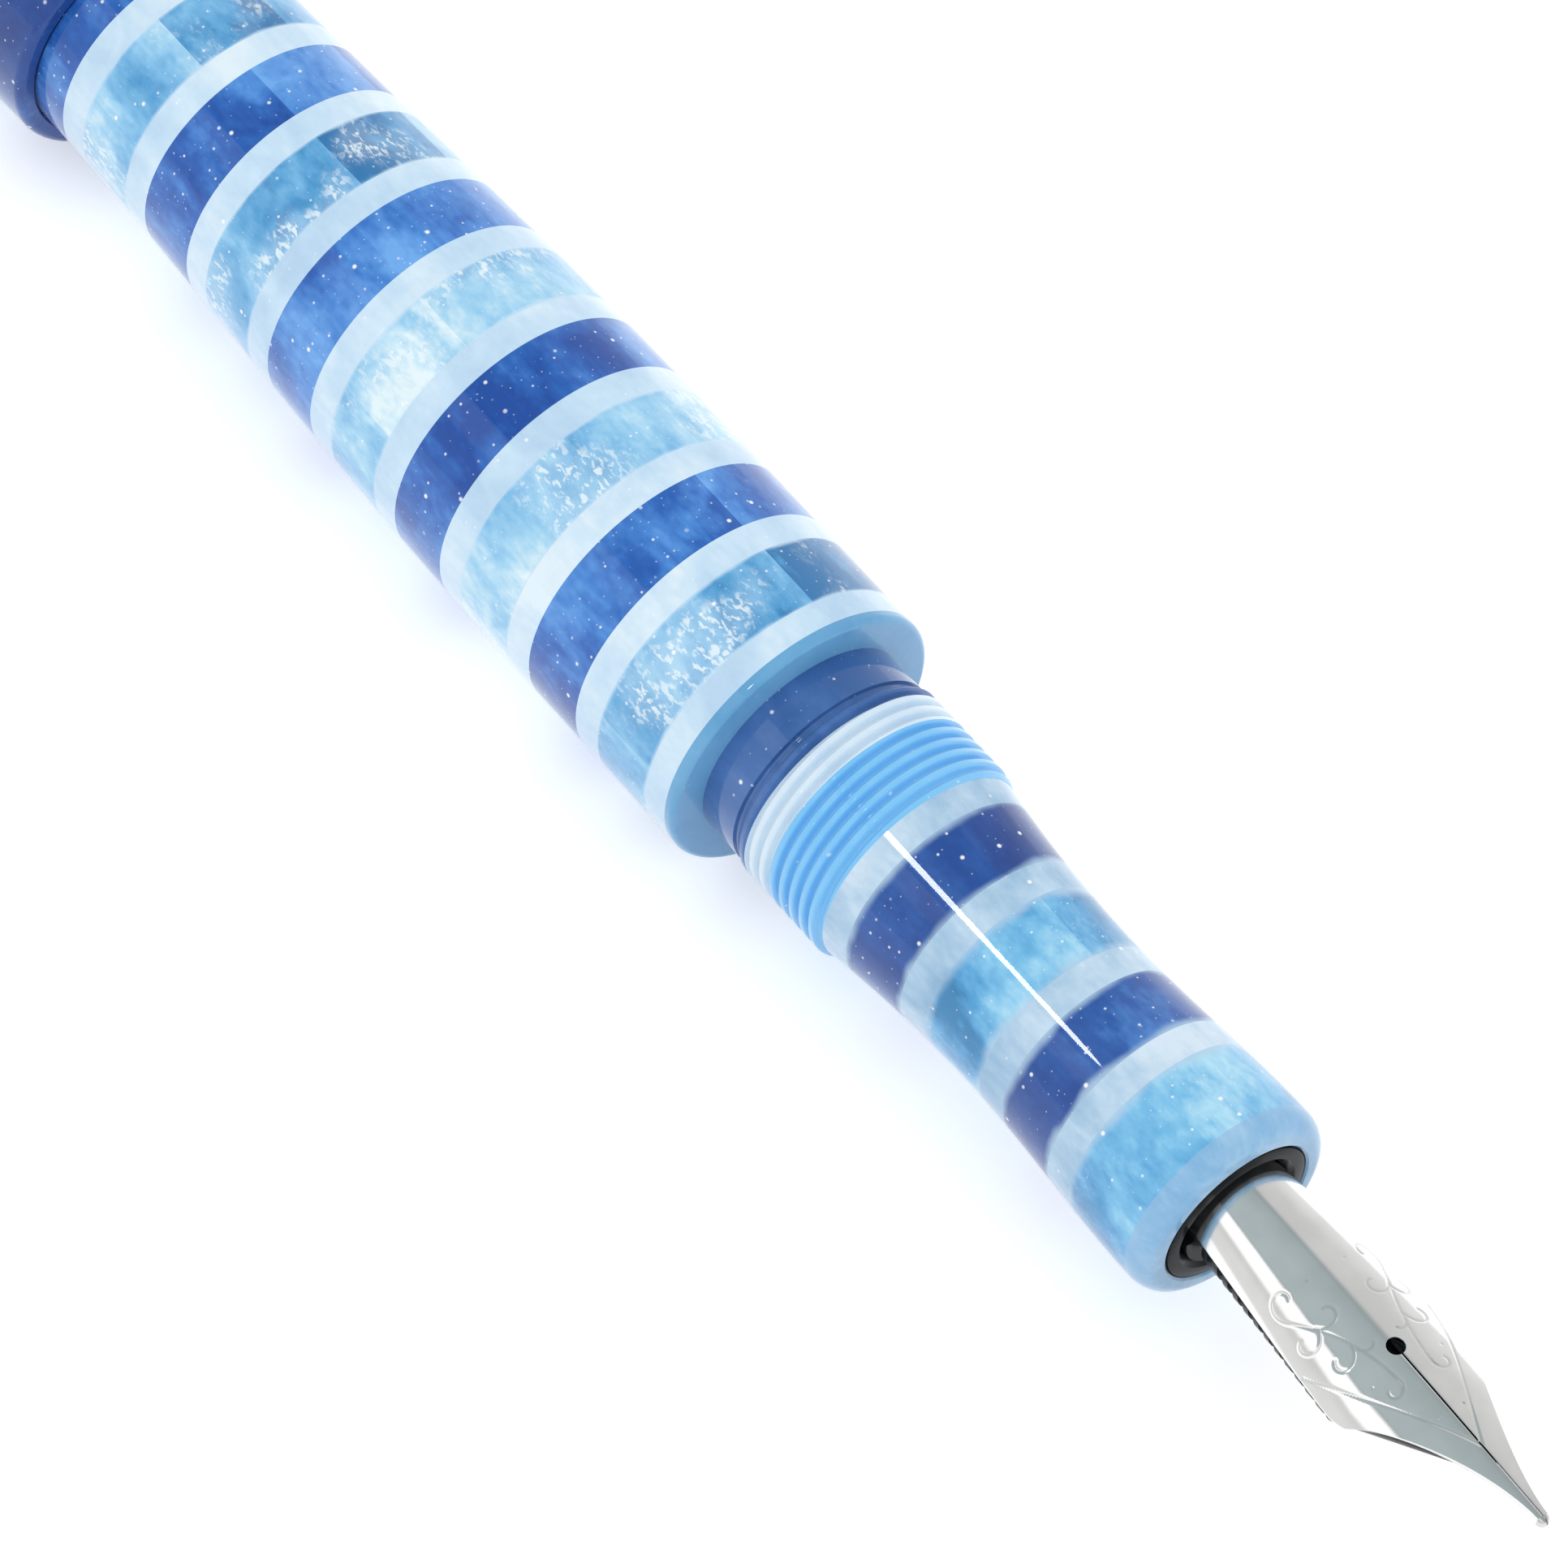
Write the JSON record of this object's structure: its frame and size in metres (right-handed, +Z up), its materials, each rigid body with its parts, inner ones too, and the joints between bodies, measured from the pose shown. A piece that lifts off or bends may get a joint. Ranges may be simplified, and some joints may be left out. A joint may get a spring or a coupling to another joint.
{
  "type": "fountain pen",
  "caption": "Laminated resin fountain pen lying with its cap posted on the tail; threaded collar, waisted section, scroll-engraved steel nib, converter inside.",
  "frame": {"origin": "on the pen's axis, at the boundary of the barrel's first pearl ring and the thin front rim, beside the front shoulder", "axes": "+X along the pen towards the nib's tip, +Z up through the top of the nib, so the pen lies on its underside with the clip resting beside it on the -Y side"},
  "size_m": [0.1823, 0.0178, 0.0169],
  "materials": {
    "resin_dark": "polished cast resin, cobalt blue with darker and brighter blocks and fine white glitter",
    "resin_light": "polished cast resin, sky blue with silky lengthwise streaks",
    "resin_pearl": "polished cast resin, pale pearl with a fine fibrous sheen",
    "resin_rim": "polished cast resin, steel blue",
    "resin_lip": "polished cast resin, pale blue, slightly translucent",
    "black_plastic": "moulded black plastic, glossy",
    "nib_steel": "polished stainless steel with engraved scrollwork",
    "tip_metal": "hard pale alloy, fine ground",
    "clear_plastic": "clear moulded plastic",
    "converter_metal": "plated metal, polished",
    "clip_metal": "polished sprung steel",
    "seal_rubber": "black rubber, smooth"
  },
  "bodies": {
    "barrel": {"barrel_dark_rings": "resin_dark", "barrel_light_rings": "resin_light", "barrel_pearl_rings": "resin_pearl", "barrel_front_rim": "resin_rim", "barrel_tail": "resin_dark", "thread_collar_dark": "resin_dark", "thread_collar_pearl": "resin_pearl", "thread_collar_light": "resin_light"},
    "section_seal": {"section_oring": "seal_rubber"},
    "section": {"section_tenon": "resin_light", "section_dark_rings": "resin_dark", "section_light_rings": "resin_light", "section_pearl_rings": "resin_pearl", "section_lip": "resin_lip"},
    "nib_unit": {"nib_housing": "black_plastic"},
    "nib_set": {"feed": "black_plastic", "nib": "nib_steel", "nib_tip": "tip_metal"},
    "converter": {"converter_mouth": "black_plastic", "converter_tube": "clear_plastic", "converter_sleeve": "converter_metal"},
    "knob": {"converter_knob": "black_plastic", "converter_spindle": "converter_metal"},
    "piston": {"piston_rod": "black_plastic", "piston_seal": "seal_rubber"},
    "cap": {"cap_lip": "resin_dark", "cap_dark_rings": "resin_dark", "cap_light_rings": "resin_light", "cap_pearl_rings": "resin_pearl", "cap_finial": "resin_dark", "clip_ring": "clip_metal"},
    "clip": {"clip_arm": "clip_metal"}
  },
  "joints": [
    {"name": "cap_pull", "type": "slide", "parent": "barrel", "child": "cap", "axis": [-1, 0, 0], "range_m": [0, 0.03]},
    {"name": "clip_lift", "type": "hinge", "parent": "cap", "child": "clip", "pos_m": [-0.11735, -0.00778, -0.00667], "axis": [0, 0.6509, -0.7592], "range_deg": [0, 4], "stiffness_Nm_per_rad": 0.05},
    {"name": "section_travel", "type": "slide", "parent": "barrel", "child": "section_seal", "axis": [1, 0, 0], "range_m": [0, 0.0086]},
    {"name": "section_turn", "type": "hinge", "parent": "section_seal", "child": "section", "pos_m": [0.0103, 0, 0], "axis": [1, 0, 0], "range_deg": [0, 3096.1]},
    {"name": "nib_unit_out", "type": "slide", "parent": "section", "child": "nib_unit", "axis": [1, 0, 0], "range_m": [0, 0.024]},
    {"name": "nib_out", "type": "slide", "parent": "nib_unit", "child": "nib_set", "axis": [1, 0, 0], "range_m": [0, 0.0115]},
    {"name": "converter_pull", "type": "slide", "parent": "section", "child": "converter", "axis": [-1, 0, 0], "range_m": [0, 0.008]},
    {"name": "knob_turn", "type": "hinge", "parent": "converter", "child": "knob", "pos_m": [-0.045, 0, 0], "axis": [1, 0, 0], "range_deg": [0, 2520.1]},
    {"name": "piston_travel", "type": "slide", "parent": "converter", "child": "piston", "axis": [1, 0, 0], "range_m": [0, 0.014]}
  ],
  "couplings": [
    {"joint": "section_turn", "follows": "section_travel", "rad_per_m": 6283.2},
    {"joint": "knob_turn", "follows": "piston_travel", "rad_per_m": 3141.6}
  ]
}
